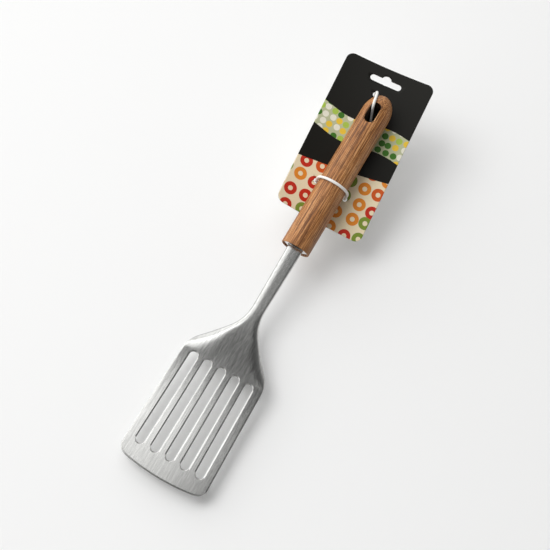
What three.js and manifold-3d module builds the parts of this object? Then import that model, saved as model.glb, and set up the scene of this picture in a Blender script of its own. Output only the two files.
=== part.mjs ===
// Slotted spatula: a pressed steel blade with a channel stem, a turned wooden handle
// and a hang card tied behind it.
// Millimetres, Z up. X runs along the tool from the blade's tip to the handle's end.
// The front of the blade lies flat at Z = 0.
// The origin is under the middle of the land in front of the slots.

import * as THREE from 'three';
import { mergeVertices } from 'three/addons/utils/BufferGeometryUtils.js';
import loadManifold from 'manifold-3d';

const wasm = await loadManifold();
wasm.setup();

const { degToRad } = THREE.MathUtils;

// Clearance between pieces that seat on each other
const FIT = 0.3;

// Pressed sheet: blade, heel and channel stem, one after the other along the tool
const SHEET = 1.2;
const BLADE_LENGTH = 103.5;
const HEEL_LENGTH = 34.5;
const STEM_LENGTH = 64.8;
const TIP_WIDTH = 72.4;
const SHOULDER_WIDTH = 68.6;
const NECK_WIDTH = 10;
const STEM_WIDTH = 12.3;
const TIP_RADIUS = 167;
const CORNER_RADIUS = 9;
const SHOULDER_BLEND = 10;
const NECK_BLEND = 13;

// Edges of the heel and stem, rolled down. The tightness holds the roll near the edge of a wide section.
const ROLL_RADIUS = 2;
const ROLL_ANGLE = degToRad(75);
const ROLL_RUN_IN = 28;
const ROLL_TIGHTEST = 5;

// Side view of the sheet: flat, then an even bend up to the stem's angle
const FLAT_LENGTH = 40;
const BEND_LENGTH = 110;
const RISE_ANGLE = degToRad(14);

// Slots through the blade
const SLOT_COUNT = 5;
const SLOT_WIDTH = 6.8;
const TIP_LAND = 15.3;
const HEEL_LAND = 5.9;
const SIDE_LAND = 7.3;

// Wooden handle
const HANDLE_DIAMETER = 23.5;
const HANDLE_LENGTH = 140.7;
const DOME_LENGTH = 17;
const RIM_WIDTH = 1.1;
const RIM_ROUND = 0.6;
const HOLE_LENGTH = 17.3;
const HOLE_WIDTH = 8.2;
const HOLE_FROM_END = 19.3;
const HOLE_ROLL = degToRad(15);

// End cap in the handle's front, and the tang that runs from the stem into the wood
const CAP_INSET = 1;
const CAP_DEPTH = 5;
const CAP_WALL = 0.8;
const STEM_INSERT = 14;
const TANG_DIAMETER = 5;
const TANG_IN_STEM = 25;
const TANG_IN_HANDLE = 60;

// Hang card behind the handle: turned a little, with its long sides curled up and its ends twisted
const CARD = 0.6;
const CARD_LENGTH = 137.4;
const CARD_WIDTH = 73.3;
const CARD_CORNER = 6;
const CARD_PAST_END = 26.6;
const CARD_ASIDE = 1.6;
const CARD_TURN = degToRad(4.6);
const CARD_CURL = 3;
const CARD_TWIST = 7.5;
const HANG_SLOT_LENGTH = 26;
const HANG_SLOT_HEIGHT = 5;
const HANG_SLOT_BUMP = 8;
const HANG_SLOT_FROM_TOP = 11.5;

// White ties through the card
const TIE_DIAMETER = 2.2;
const TIE_HOLE = 4;
const TIE_BEND = 2;
const TIE_END_GAP = 1.2;
const LOWER_TIE_ON_CARD = 27.5;

// Upper tie, from the card up through the hanging hole to its rim on the left.
// Each point is in shares of the hole's straight half length, its clear half width and the handle's radius.
const UPPER_TIE_IN_HOLE = [
  [-0.82, 0.82, -1],
  [-0.8, 0.65, -0.8],
  [-0.65, 0.6, -0.5],
  [0.4, 0.8, 0.17],
  [1.25, 0.8, 0.93],
];

// Upper tie over the dome: share of the dome's length still to go, and the turn to the left of the top
const UPPER_TIE_OVER_DOME = [
  [0.65, degToRad(28)],
  [0.41, degToRad(36)],
  [0.18, degToRad(54)],
];

// Upper tie down to the card: shares of the handle's radius past the end, to the left and up
const UPPER_TIE_PAST_END = [
  [0.01, 0.67, -0.04],
  [0.16, 0.7, -0.6],
  [0.18, 0.71, -1],
];

// Places that follow from the sizes above
const NECK_AT = BLADE_LENGTH + HEEL_LENGTH;
const SLOTS_END = BLADE_LENGTH - HEEL_LAND;
const SHOULDER_START = BLADE_LENGTH - SHOULDER_BLEND;
const HANDLE_AT = NECK_AT + STEM_LENGTH;
const STEM_END = HANDLE_AT + STEM_INSERT * Math.cos(RISE_ANGLE);
const REST_AT = TIP_LAND / 2;
const HANDLE_RADIUS = HANDLE_DIAMETER / 2;
const CROWN_ABOVE_AXIS = TANG_DIAMETER / 2 + FIT + SHEET;
const LOWER_TIE_AT = HANDLE_LENGTH + CARD_PAST_END - CARD_LENGTH + LOWER_TIE_ON_CARD;

// How finely curved faces are cut
const ROUND_SIDES = 40;
const ARC_SEGMENTS = 8;
const BLADE_ROWS = 8;
const SHOULDER_ROWS = 7;
const HEEL_ROWS = 9;
const NECK_ROWS = 4;
const HALF_COLUMNS = 8;
const STEPS_PER_COLUMN = 10;
const EDGE_CROWDING = 1.5;
const CARD_ROWS = 12;
const CARD_COLUMNS = 8;
const TIE_HALF_SIDES = 4;
const TIE_STEP = 1.4;

// How far blanks and cutters run past the outline they meet
const OVERRUN = 6;

/** Merge the corners that faces share, and drop the triangles that close up to a line on an axis. */
function weld(geometry) {
  const bare = geometry.clone();
  bare.deleteAttribute('normal');
  bare.deleteAttribute('uv');
  const merged = mergeVertices(bare, 1e-4);
  const corners = merged.index.array;
  const kept = [];
  for (let i = 0; i < corners.length; i += 3) {
    const [a, b, c] = corners.slice(i, i + 3);
    if (a !== b && b !== c && c !== a) {
      kept.push(a, b, c);
    }
  }
  merged.setIndex(kept);
  merged.computeVertexNormals();
  return merged;
}

/** Turn a closed geometry into a solid that can be cut. */
function toSolid(geometry) {
  const merged = weld(geometry);
  const vertProperties = new Float32Array(merged.attributes.position.array);
  const triVerts = new Uint32Array(merged.index.array);
  return new wasm.Manifold(new wasm.Mesh({ numProp: 3, vertProperties, triVerts }));
}

/** Turn a cut solid back into a geometry. */
function toGeometry(solid) {
  const mesh = solid.getMesh();
  const geometry = new THREE.BufferGeometry();
  geometry.setAttribute('position', new THREE.BufferAttribute(mesh.vertProperties, 3));
  geometry.setIndex(new THREE.BufferAttribute(mesh.triVerts, 1));
  geometry.computeVertexNormals();
  return geometry;
}

/** Close a sheet between its upper and lower points: rows run along X, and points in a row along Y. */
function sheetGeometry(upper, lower) {
  const rows = upper.length;
  const columns = upper[0].length;
  const points = [...upper.flat(), ...lower.flat()];
  const below = rows * columns;
  const index = [];
  for (let i = 0; i < rows - 1; i++) {
    for (let j = 0; j < columns - 1; j++) {
      const a = i * columns + j;
      const c = a + columns;
      index.push(a, c, a + 1, a + 1, c, c + 1);
      index.push(below + a, below + a + 1, below + c, below + a + 1, below + c + 1, below + c);
    }
  }
  const rim = [];
  for (let i = 0; i < rows - 1; i++) {
    rim.push(i * columns);
  }
  for (let j = 0; j < columns - 1; j++) {
    rim.push((rows - 1) * columns + j);
  }
  for (let i = rows - 1; i > 0; i--) {
    rim.push(i * columns + columns - 1);
  }
  for (let j = columns - 1; j > 0; j--) {
    rim.push(j);
  }
  rim.forEach((a, k) => {
    const b = rim[(k + 1) % rim.length];
    index.push(below + a, below + b, b, below + a, b, a);
  });
  const geometry = new THREE.BufferGeometry().setFromPoints(points);
  geometry.setIndex(index);
  return geometry;
}

/** Extrude an outline through everything above and below the XY plane. */
function throughCutter(shape, depth) {
  const options = { depth, bevelEnabled: false, curveSegments: ARC_SEGMENTS };
  return new THREE.ExtrudeGeometry(shape, options).translate(0, 0, -depth / 2);
}

/** Round-ended slot outline, centred, with its length along X. */
function slotShape(length, width) {
  const radius = width / 2;
  const reach = length / 2 - radius;
  const shape = new THREE.Shape();
  shape.absarc(reach, 0, radius, -Math.PI / 2, Math.PI / 2, false);
  shape.absarc(-reach, 0, radius, Math.PI / 2, 1.5 * Math.PI, false);
  shape.closePath();
  return shape;
}

/** Circle outline about the origin. */
function circleShape(diameter) {
  const shape = new THREE.Shape();
  shape.absarc(0, 0, diameter / 2, 0, Math.PI, false);
  shape.absarc(0, 0, diameter / 2, Math.PI, 2 * Math.PI, false);
  return shape;
}

/** Revolve a profile of (radius, along) points about the X axis. */
function turned(profile) {
  const points = profile.map(([radius, along]) => new THREE.Vector2(radius, along));
  return new THREE.LatheGeometry(points, ROUND_SIDES).rotateZ(-Math.PI / 2);
}

/** Height and slope of the sheet's crown line at a distance from the tip. */
function crownAt(x) {
  const steepest = Math.tan(RISE_ANGLE);
  const into = THREE.MathUtils.clamp(x - FLAT_LENGTH, 0, BEND_LENGTH);
  const past = Math.max(x - FLAT_LENGTH - BEND_LENGTH, 0);
  const slope = (steepest * into) / BEND_LENGTH;
  return { z: SHEET + (slope * into) / 2 + steepest * past, angle: Math.atan(slope) };
}

/** Half the width of the blade between its straight sides. */
function sideAt(x) {
  return THREE.MathUtils.lerp(TIP_WIDTH / 2, SHOULDER_WIDTH / 2, x / BLADE_LENGTH);
}

/** Outline of the heel and stem on one side: a straight draw-in, rounded at the shoulder and the neck. */
function heelEdge() {
  const neck = new THREE.Vector2(NECK_AT, NECK_WIDTH / 2);
  const shoulder = new THREE.Vector2(BLADE_LENGTH, SHOULDER_WIDTH / 2);
  const handle = new THREE.Vector2(HANDLE_AT, STEM_WIDTH / 2);
  const drawIn = shoulder.clone().sub(neck).normalize();
  const onward = handle.clone().sub(neck).normalize();
  const before = neck.clone().addScaledVector(drawIn, NECK_BLEND);
  const after = neck.clone().addScaledVector(onward, NECK_BLEND);
  const shoulderStart = new THREE.Vector2(SHOULDER_START, sideAt(SHOULDER_START));
  const shoulderEnd = shoulder.clone().addScaledVector(drawIn, -SHOULDER_BLEND);
  const blank = new THREE.Vector2(SHOULDER_START - FIT, Math.max(TIP_WIDTH, SHOULDER_WIDTH) / 2 + OVERRUN);
  const edge = new THREE.CurvePath();
  edge.add(new THREE.LineCurve(blank, shoulderStart));
  edge.add(new THREE.QuadraticBezierCurve(shoulderStart, shoulder, shoulderEnd));
  edge.add(new THREE.LineCurve(shoulderEnd, before));
  edge.add(new THREE.QuadraticBezierCurve(before, neck, after));
  edge.add(new THREE.LineCurve(after, handle));
  return edge;
}

const HEEL_EDGE_POINTS = heelEdge().getPoints(ARC_SEGMENTS);

/** Half the sheet's width at a distance from the tip, before the blade's own outline is trimmed. */
function halfWidthAt(x) {
  const points = HEEL_EDGE_POINTS;
  if (x <= points[0].x) {
    return points[0].y;
  }
  for (let i = 1; i < points.length; i++) {
    if (x <= points[i].x) {
      const share = (x - points[i - 1].x) / (points[i].x - points[i - 1].x);
      return THREE.MathUtils.lerp(points[i - 1].y, points[i].y, share);
    }
  }
  return points.at(-1).y;
}

/** One half of the sheet's section: way to the side, drop below the crown and angle it has rolled over. */
function halfSection(x) {
  const halfWidth = halfWidthAt(x);
  const roll = ROLL_ANGLE * THREE.MathUtils.smoothstep(x, SLOTS_END, SLOTS_END + ROLL_RUN_IN);
  const tightness = THREE.MathUtils.clamp(halfWidth / (ROLL_RADIUS * ROLL_ANGLE), 1, ROLL_TIGHTEST);
  const fineSteps = STEPS_PER_COLUMN * HALF_COLUMNS;
  const reachAt = (k) => 1 - (1 - k / fineSteps) ** EDGE_CROWDING;
  const points = [{ side: 0, drop: 0, angle: 0 }];
  let side = 0;
  let drop = 0;
  for (let k = 1; k <= fineSteps; k++) {
    const from = reachAt(k - 1);
    const to = reachAt(k);
    const angle = roll * ((from + to) / 2) ** tightness;
    side += Math.cos(angle) * (to - from);
    drop += Math.sin(angle) * (to - from);
    if (k % STEPS_PER_COLUMN === 0) {
      points.push({ side, drop, angle: roll * to ** tightness });
    }
  }
  const scale = halfWidth / side;
  return points.map((p) => ({ side: p.side * scale, drop: p.drop * scale, angle: p.angle }));
}

/** Upper and lower points of the sheet across the tool at a distance from the tip. */
function sheetRow(x) {
  const { z, angle: rise } = crownAt(x);
  const half = halfSection(x);
  const mirrored = half.slice(1).reverse().map((p) => ({ side: -p.side, drop: p.drop, angle: -p.angle }));
  const across = [...mirrored, ...half];
  const face = (down) => across.map(({ side, drop, angle }) => {
    const below = drop + down * Math.cos(angle);
    const aside = side - down * Math.sin(angle);
    return new THREE.Vector3(x + below * Math.sin(rise), aside, z - below * Math.cos(rise));
  });
  return { upper: face(0), lower: face(SHEET) };
}

/** Distances from the tip at which the sheet is cut into rows. */
function sheetRowPlaces() {
  const places = [-OVERRUN, FLAT_LENGTH];
  const evenly = (from, to, count) => {
    for (let k = 1; k <= count; k++) {
      places.push(from + ((to - from) * k) / count);
    }
  };
  const bendEnd = Math.max(FLAT_LENGTH + BEND_LENGTH, NECK_AT + NECK_BLEND);
  evenly(FLAT_LENGTH, SHOULDER_START, BLADE_ROWS);
  evenly(SHOULDER_START, BLADE_LENGTH + SHOULDER_BLEND, SHOULDER_ROWS);
  evenly(BLADE_LENGTH + SHOULDER_BLEND, NECK_AT, HEEL_ROWS);
  evenly(NECK_AT, bendEnd, NECK_ROWS);
  places.push(HANDLE_AT, STEM_END);
  return places;
}

/** Tip, corners and straight sides of the blade, carried on wider to trim nothing behind them. */
function bladeTrim() {
  const tipAt = (y) => TIP_RADIUS - Math.sqrt(TIP_RADIUS ** 2 - y ** 2);
  const cornerY = TIP_WIDTH / 2 - CORNER_RADIUS;
  const cornerX = tipAt(TIP_WIDTH / 2) + CORNER_RADIUS;
  const far = STEM_END + OVERRUN;
  const sweep = Math.asin(cornerY / TIP_RADIUS);
  const shape = new THREE.Shape();
  const clear = sideAt(SHOULDER_START) + OVERRUN;
  shape.moveTo(far, -clear);
  shape.lineTo(far, clear);
  shape.lineTo(BLADE_LENGTH, clear);
  shape.lineTo(SHOULDER_START, sideAt(SHOULDER_START));
  shape.lineTo(cornerX, sideAt(cornerX));
  shape.quadraticCurveTo(tipAt(TIP_WIDTH / 2), sideAt(0), tipAt(cornerY), cornerY);
  shape.absarc(TIP_RADIUS, 0, TIP_RADIUS, Math.PI - sweep, Math.PI + sweep, false);
  shape.quadraticCurveTo(tipAt(TIP_WIDTH / 2), -sideAt(0), cornerX, -sideAt(cornerX));
  shape.lineTo(SHOULDER_START, -sideAt(SHOULDER_START));
  shape.lineTo(BLADE_LENGTH, -clear);
  shape.closePath();
  return shape;
}

/** Blade, heel and channel stem pressed from one sheet. */
function makeBlade() {
  const rows = sheetRowPlaces().map(sheetRow);
  const sheet = sheetGeometry(rows.map((row) => row.upper), rows.map((row) => row.lower));
  const depth = 2 * (crownAt(STEM_END).z + OVERRUN);
  let blade = toSolid(sheet).intersect(toSolid(throughCutter(bladeTrim(), depth)));
  const radius = SLOT_WIDTH / 2;
  const slotPlace = (x, share) => new THREE.Vector2(x, share * (sideAt(x) - SIDE_LAND - radius));
  for (let k = 0; k < SLOT_COUNT; k++) {
    const share = SLOT_COUNT > 1 ? (2 * k) / (SLOT_COUNT - 1) - 1 : 0;
    const atTip = slotPlace(TIP_LAND + radius, share);
    const atHeel = slotPlace(SLOTS_END - radius, share);
    const middle = atTip.clone().lerp(atHeel, 0.5);
    const run = atHeel.clone().sub(atTip);
    const cutter = throughCutter(slotShape(run.length() + SLOT_WIDTH, SLOT_WIDTH), depth);
    cutter.rotateZ(run.angle()).translate(middle.x, middle.y, 0);
    blade = blade.subtract(toSolid(cutter));
  }
  return toGeometry(blade);
}

/** Largest distance of the stem's section from the handle's axis. */
function stemReach() {
  const corners = halfSection(HANDLE_AT).flatMap(({ side, drop, angle }) => [
    Math.hypot(side, CROWN_ABOVE_AXIS - drop),
    Math.hypot(side - SHEET * Math.sin(angle), CROWN_ABOVE_AXIS - drop - SHEET * Math.cos(angle)),
  ]);
  return Math.max(...corners);
}

const STEM_BORE_RADIUS = stemReach() + FIT;
const RECESS_RADIUS = HANDLE_RADIUS - RIM_WIDTH;
const RECESS_DEPTH = CAP_INSET + CAP_DEPTH + FIT;

/** Wooden handle: stepped bore at the front, domed end and an oval hanging hole. */
function makeHandle() {
  const tangBore = TANG_DIAMETER / 2 + FIT;
  const profile = [
    [0, TANG_IN_HANDLE + FIT],
    [tangBore, TANG_IN_HANDLE + FIT],
    [tangBore, STEM_INSERT + FIT],
    [STEM_BORE_RADIUS, STEM_INSERT + FIT],
    [STEM_BORE_RADIUS, RECESS_DEPTH],
    [RECESS_RADIUS, RECESS_DEPTH],
    [RECESS_RADIUS, 0],
  ];
  const roundSteps = 3;
  for (let k = 0; k <= roundSteps; k++) {
    const turn = (Math.PI / 2) * (k / roundSteps);
    profile.push([HANDLE_RADIUS - RIM_ROUND * (1 - Math.sin(turn)), RIM_ROUND * (1 - Math.cos(turn))]);
  }
  const domeSteps = 9;
  for (let k = 0; k < domeSteps; k++) {
    const turn = (Math.PI / 2) * (k / domeSteps);
    profile.push([HANDLE_RADIUS * Math.cos(turn), HANDLE_LENGTH - DOME_LENGTH * (1 - Math.sin(turn))]);
  }
  profile.push([0, HANDLE_LENGTH]);
  const hole = throughCutter(slotShape(HOLE_LENGTH, HOLE_WIDTH), 2 * HANDLE_DIAMETER);
  hole.rotateX(-HOLE_ROLL).translate(HANDLE_LENGTH - HOLE_FROM_END, 0, 0);
  return toGeometry(toSolid(turned(profile)).subtract(toSolid(hole)));
}

/** Pressed cap in the recess at the handle's front: a cup with a round opening for the stem. */
function makeEndCap() {
  const outside = RECESS_RADIUS - FIT;
  const inside = outside - CAP_WALL;
  const front = CAP_INSET;
  return weld(turned([
    [STEM_BORE_RADIUS, front + CAP_WALL],
    [STEM_BORE_RADIUS, front],
    [outside - CAP_WALL / 2, front],
    [outside, front + CAP_WALL / 2],
    [outside, front + CAP_DEPTH],
    [inside, front + CAP_DEPTH],
    [inside, front + CAP_WALL],
    [STEM_BORE_RADIUS, front + CAP_WALL],
  ]));
}

/** Steel rod under the stem's channel and in the handle's bore. */
function makeTang() {
  const length = TANG_IN_STEM + TANG_IN_HANDLE;
  const rod = new THREE.CylinderGeometry(TANG_DIAMETER / 2, TANG_DIAMETER / 2, length, ROUND_SIDES / 2);
  return weld(rod.rotateZ(-Math.PI / 2).translate(length / 2 - TANG_IN_STEM, 0, 0));
}

const CARD_MIDDLE = new THREE.Vector2(HANDLE_LENGTH + CARD_PAST_END - CARD_LENGTH / 2, CARD_ASIDE);

/** Gap under the handle that leaves the fit where the twisted card comes nearest to the round wood. */
function cardGap() {
  const slope = CARD_TWIST / (CARD_WIDTH / 2);
  const parting = 1 / HANDLE_DIAMETER - CARD_CURL / (CARD_WIDTH / 2) ** 2;
  return FIT + slope ** 2 / (4 * parting);
}

const CARD_GAP = cardGap();

/** Height of the card's front over the handle's axis. */
function cardHeight(along, aside) {
  const outward = aside / (CARD_WIDTH / 2);
  const onward = (along - CARD_MIDDLE.x) / (CARD_LENGTH / 2);
  return -HANDLE_RADIUS - CARD_GAP + CARD_CURL * outward ** 2 - CARD_TWIST * outward * onward;
}

/** Place of a point given along and across the card, in the handle's own directions. */
function onCard(along, across) {
  return new THREE.Vector2(along, across).rotateAround(new THREE.Vector2(), CARD_TURN).add(CARD_MIDDLE);
}

/** Point of the upper tie in the hanging hole. */
function inHangingHole([along, aside, up]) {
  const z = up * HANDLE_RADIUS;
  const y = z * Math.tan(HOLE_ROLL) + (aside * (HOLE_WIDTH - TIE_DIAMETER)) / 2;
  const x = HANDLE_LENGTH - HOLE_FROM_END + (along * (HOLE_LENGTH - HOLE_WIDTH)) / 2;
  return new THREE.Vector3(x, y, z);
}

/** Point of the upper tie over the domed end, lifted clear of the wood. */
function overDome([toGo, turn]) {
  const lift = TIE_DIAMETER / 2 + 2 * FIT;
  const upDome = (DOME_LENGTH * (1 - toGo)) / (DOME_LENGTH + lift);
  const radius = (HANDLE_RADIUS + lift) * Math.sqrt(1 - upDome ** 2);
  const x = HANDLE_LENGTH - toGo * DOME_LENGTH;
  return new THREE.Vector3(x, radius * Math.sin(turn), radius * Math.cos(turn));
}

/** Point of the upper tie past the handle's end. */
function pastHandleEnd([past, aside, up]) {
  const reach = new THREE.Vector3(past, aside, up).multiplyScalar(HANDLE_RADIUS);
  return reach.add(new THREE.Vector3(HANDLE_LENGTH, 0, 0));
}

const UPPER_TIE_POINTS = [
  ...UPPER_TIE_IN_HOLE.map(inHangingHole),
  ...UPPER_TIE_OVER_DOME.map(overDome),
  ...UPPER_TIE_PAST_END.map(pastHandleEnd),
];
const UPPER_TIE_HOLES = [0, -1].map((end) => {
  const { x, y } = UPPER_TIE_POINTS.at(end);
  return new THREE.Vector2(x, y);
});
const LOWER_TIE_RADIUS = HANDLE_RADIUS + FIT + TIE_DIAMETER / 2;
const LOWER_TIE_HOLES = [1, -1].map((way) => new THREE.Vector2(LOWER_TIE_AT, way * LOWER_TIE_RADIUS));

/** Rounded outline of the card, centred, with its length along X. */
function cardShape() {
  const reachX = CARD_LENGTH / 2 - CARD_CORNER;
  const reachY = CARD_WIDTH / 2 - CARD_CORNER;
  const quarter = Math.PI / 2;
  const shape = new THREE.Shape();
  shape.absarc(reachX, reachY, CARD_CORNER, 0, quarter, false);
  shape.absarc(-reachX, reachY, CARD_CORNER, quarter, 2 * quarter, false);
  shape.absarc(-reachX, -reachY, CARD_CORNER, 2 * quarter, 3 * quarter, false);
  shape.absarc(reachX, -reachY, CARD_CORNER, 3 * quarter, 4 * quarter, false);
  shape.closePath();
  return shape;
}

/** Card with its hang slot and the holes for the ties. */
function makeHangCard() {
  const grid = (down) => Array.from({ length: CARD_ROWS + 1 }, (_, i) => {
    const along = (CARD_LENGTH + 2 * OVERRUN) * (i / CARD_ROWS - 0.5);
    return Array.from({ length: CARD_COLUMNS + 1 }, (_unused, j) => {
      const spot = onCard(along, (CARD_WIDTH + 2 * OVERRUN) * (j / CARD_COLUMNS - 0.5));
      return new THREE.Vector3(spot.x, spot.y, cardHeight(spot.x, spot.y) - down);
    });
  });
  const depth = 2 * (HANDLE_DIAMETER + CARD_TWIST + OVERRUN);
  const placed = (cutter) => toSolid(cutter.rotateZ(CARD_TURN).translate(CARD_MIDDLE.x, CARD_MIDDLE.y, 0));
  const slotAt = CARD_LENGTH / 2 - HANG_SLOT_FROM_TOP;
  const slot = throughCutter(slotShape(HANG_SLOT_LENGTH, HANG_SLOT_HEIGHT), depth);
  const bump = throughCutter(circleShape(HANG_SLOT_BUMP), depth);
  slot.rotateZ(Math.PI / 2).translate(slotAt, 0, 0);
  bump.translate(slotAt + HANG_SLOT_HEIGHT / 4, 0, 0);
  let card = toSolid(sheetGeometry(grid(0), grid(CARD)));
  card = card.intersect(placed(throughCutter(cardShape(), depth)));
  card = card.subtract(placed(slot)).subtract(placed(bump));
  for (const spot of [...UPPER_TIE_HOLES, ...LOWER_TIE_HOLES]) {
    const hole = throughCutter(circleShape(TIE_HOLE), depth);
    card = card.subtract(toSolid(hole.translate(spot.x, spot.y, 0)));
  }
  return toGeometry(card);
}

/** Points of a tie's tail behind the card, from near the other tail's end up into its own hole. */
function tieTail(hole, otherHole) {
  const inward = otherHole.clone().sub(hole);
  const tail = inward.length() / 2 - TIE_END_GAP / 2;
  inward.normalize();
  const corner = TIE_BEND * (1 - Math.SQRT1_2);
  const at = (way, up) => {
    const spot = hole.clone().addScaledVector(inward, way);
    const cardMiddle = cardHeight(spot.x, spot.y) - CARD / 2;
    return new THREE.Vector3(spot.x, spot.y, cardMiddle - TIE_BEND + up);
  };
  return [at(tail, 0), at((tail + TIE_BEND) / 2, 0), at(TIE_BEND, 0), at(corner, corner), at(0, TIE_BEND)];
}

/** Round cord along a tie's route, from one tail to the other. */
function makeTie(holes, route) {
  const points = [...tieTail(holes[0], holes[1]), ...route, ...tieTail(holes[1], holes[0]).reverse()];
  const path = new THREE.CatmullRomCurve3(points, false, 'centripetal');
  const steps = Math.ceil(path.getLength() / TIE_STEP);
  const options = { steps, curveSegments: TIE_HALF_SIDES, bevelEnabled: false, extrudePath: path };
  return weld(new THREE.ExtrudeGeometry(circleShape(TIE_DIAMETER), options));
}

/** Tie through the hanging hole and over the handle's end. */
function makeUpperTie() {
  return makeTie(UPPER_TIE_HOLES, UPPER_TIE_POINTS.slice(1, -1));
}

/** Tie round the middle of the handle. */
function makeLowerTie() {
  const at = (y, z) => new THREE.Vector3(LOWER_TIE_AT, y, z);
  const leg = HANDLE_RADIUS / 2;
  const route = [at(LOWER_TIE_RADIUS, -leg)];
  const arcSteps = 9;
  for (let k = 0; k <= arcSteps; k++) {
    const turn = Math.PI * (k / arcSteps);
    route.push(at(LOWER_TIE_RADIUS * Math.cos(turn), LOWER_TIE_RADIUS * Math.sin(turn)));
  }
  route.push(at(-LOWER_TIE_RADIUS, -leg));
  return makeTie(LOWER_TIE_HOLES, route);
}

/** Add one named piece with a material of its own. */
function addPiece(parent, name, geometry, color, roughness, metalness) {
  const piece = new THREE.Mesh(geometry, new THREE.MeshStandardMaterial({ color, roughness, metalness }));
  piece.name = name;
  parent.add(piece);
}

/** Group whose X axis is the handle's axis, starting at the handle's front. */
function handleGroup() {
  const { z } = crownAt(HANDLE_AT);
  const group = new THREE.Group();
  const below = CROWN_ABOVE_AXIS;
  group.position.set(HANDLE_AT + below * Math.sin(RISE_ANGLE), 0, z - below * Math.cos(RISE_ANGLE));
  group.rotation.y = -RISE_ANGLE;
  return group;
}

const spatula = new THREE.Group();
spatula.position.x = -REST_AT;
addPiece(spatula, 'blade', makeBlade(), 0xb9bcbd, 0.35, 1);
const gripped = handleGroup();
addPiece(gripped, 'handle', makeHandle(), 0x94623c, 0.6, 0);
addPiece(gripped, 'end_cap', makeEndCap(), 0xd6d7d8, 0.25, 1);
addPiece(gripped, 'tang', makeTang(), 0xa4a7a9, 0.4, 1);
addPiece(gripped, 'hang_card', makeHangCard(), 0x24231f, 0.55, 0);
addPiece(gripped, 'upper_tie', makeUpperTie(), 0xf3f1ec, 0.5, 0);
addPiece(gripped, 'lower_tie', makeLowerTie(), 0xf3f1ec, 0.5, 0);
spatula.add(gripped);

export default spatula;
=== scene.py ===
"""Looks of the slotted spatula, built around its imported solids.

Run as a script it dresses every piece. Each piece is also an operator in the 3D view's sidebar.
All lengths are metres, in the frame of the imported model.
"""

import math

import bmesh
import bpy
from bpy.props import FloatProperty, FloatVectorProperty, IntProperty, PointerProperty
from mathutils import Matrix, Vector


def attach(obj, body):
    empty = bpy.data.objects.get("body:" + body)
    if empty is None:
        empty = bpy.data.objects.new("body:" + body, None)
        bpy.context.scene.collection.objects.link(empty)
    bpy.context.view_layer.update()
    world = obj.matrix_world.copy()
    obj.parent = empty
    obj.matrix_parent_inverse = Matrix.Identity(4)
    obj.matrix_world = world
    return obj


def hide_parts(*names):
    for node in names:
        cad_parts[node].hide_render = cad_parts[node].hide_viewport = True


bl_info = {
    "name": "Slotted spatula",
    "version": (1, 0, 0),
    "blender": (4, 5, 0),
    "location": "3D View > Sidebar > Spatula",
    "description": "Makes a slotted steel spatula with a wooden handle on its hang card",
    "category": "Add Mesh",
}

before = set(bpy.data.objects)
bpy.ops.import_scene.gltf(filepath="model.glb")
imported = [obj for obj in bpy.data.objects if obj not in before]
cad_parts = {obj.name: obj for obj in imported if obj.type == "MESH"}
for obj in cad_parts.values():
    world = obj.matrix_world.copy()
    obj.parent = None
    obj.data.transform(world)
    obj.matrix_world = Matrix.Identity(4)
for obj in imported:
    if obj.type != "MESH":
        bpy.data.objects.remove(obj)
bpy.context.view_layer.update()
BODY = "root"


def length(name, description, default):
    """Length property in metres."""
    return FloatProperty(
        name=name, description=description, default=default, min=0.0, precision=4, unit="LENGTH"
    )


def angle(name, description, degrees):
    """Angle property, given in degrees and kept in radians."""
    return FloatProperty(
        name=name, description=description, default=math.radians(degrees), subtype="ANGLE"
    )


def share(name, description, default, most=1.0):
    """Plain number from nought up."""
    return FloatProperty(name=name, description=description, default=default, min=0.0, max=most)


def tint(name, description, default):
    """Linear colour property."""
    return FloatVectorProperty(
        name=name, description=description, default=default, size=3, min=0.0, max=1.0, subtype="COLOR"
    )


class BladeSizes(bpy.types.PropertyGroup):
    """Pressed sheet: blade, heel and channel stem. Distances run along the tool from the tip."""

    sheet: length("Sheet", "Thickness of the sheet", 0.0012)
    blade_length: length("Blade length", "From the tip to the shoulders", 0.1035)
    heel_length: length("Heel length", "From the shoulders to the neck", 0.0345)
    stem_length: length("Stem length", "From the neck to the handle", 0.0648)
    tip_width: length("Tip width", "Width of the blade at its tip", 0.0724)
    shoulder_width: length("Shoulder width", "Width of the blade at its shoulders", 0.0686)
    neck_width: length("Neck width", "Width where the heel meets the stem", 0.010)
    stem_width: length("Stem width", "Width of the stem at the handle", 0.0123)
    tip_radius: length("Tip radius", "Radius of the curved front edge", 0.167)
    corner: length("Corner", "Length of the rounded front corners", 0.009)
    shoulder_blend: length("Shoulder blend", "Length over which the side bends into the heel", 0.010)
    neck_blend: length("Neck blend", "Length over which the heel bends into the stem", 0.013)
    roll_radius: length("Roll radius", "Radius of the rolled-down edges", 0.002)
    roll_angle: angle("Roll angle", "How far the edges of the stem are rolled down", 75.0)
    roll_tightest: share("Roll tightest", "How closely the roll keeps to the heel's edges", 5.0, 20.0)
    roll_run_in: length("Roll run-in", "Length over which the rolled edges begin", 0.028)
    flat_length: length("Flat length", "Front of the blade that lies flat", 0.040)
    bend_length: length("Bend length", "Length over which the sheet bends up", 0.110)
    rise: angle("Rise", "Slope of the stem and handle", 14.0)
    slots: IntProperty(name="Slots", description="Number of slots", default=5, min=2)
    slot_width: length("Slot width", "Width of a slot", 0.0068)
    tip_land: length("Tip land", "Sheet between the front edge and the slots", 0.0153)
    heel_land: length("Heel land", "Sheet between the slots and the shoulders", 0.0059)
    side_land: length("Side land", "Sheet beside the outer slots", 0.0073)
    edge: length("Edge", "Width over which the sheet's edges look rounded", 0.0011)


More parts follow.
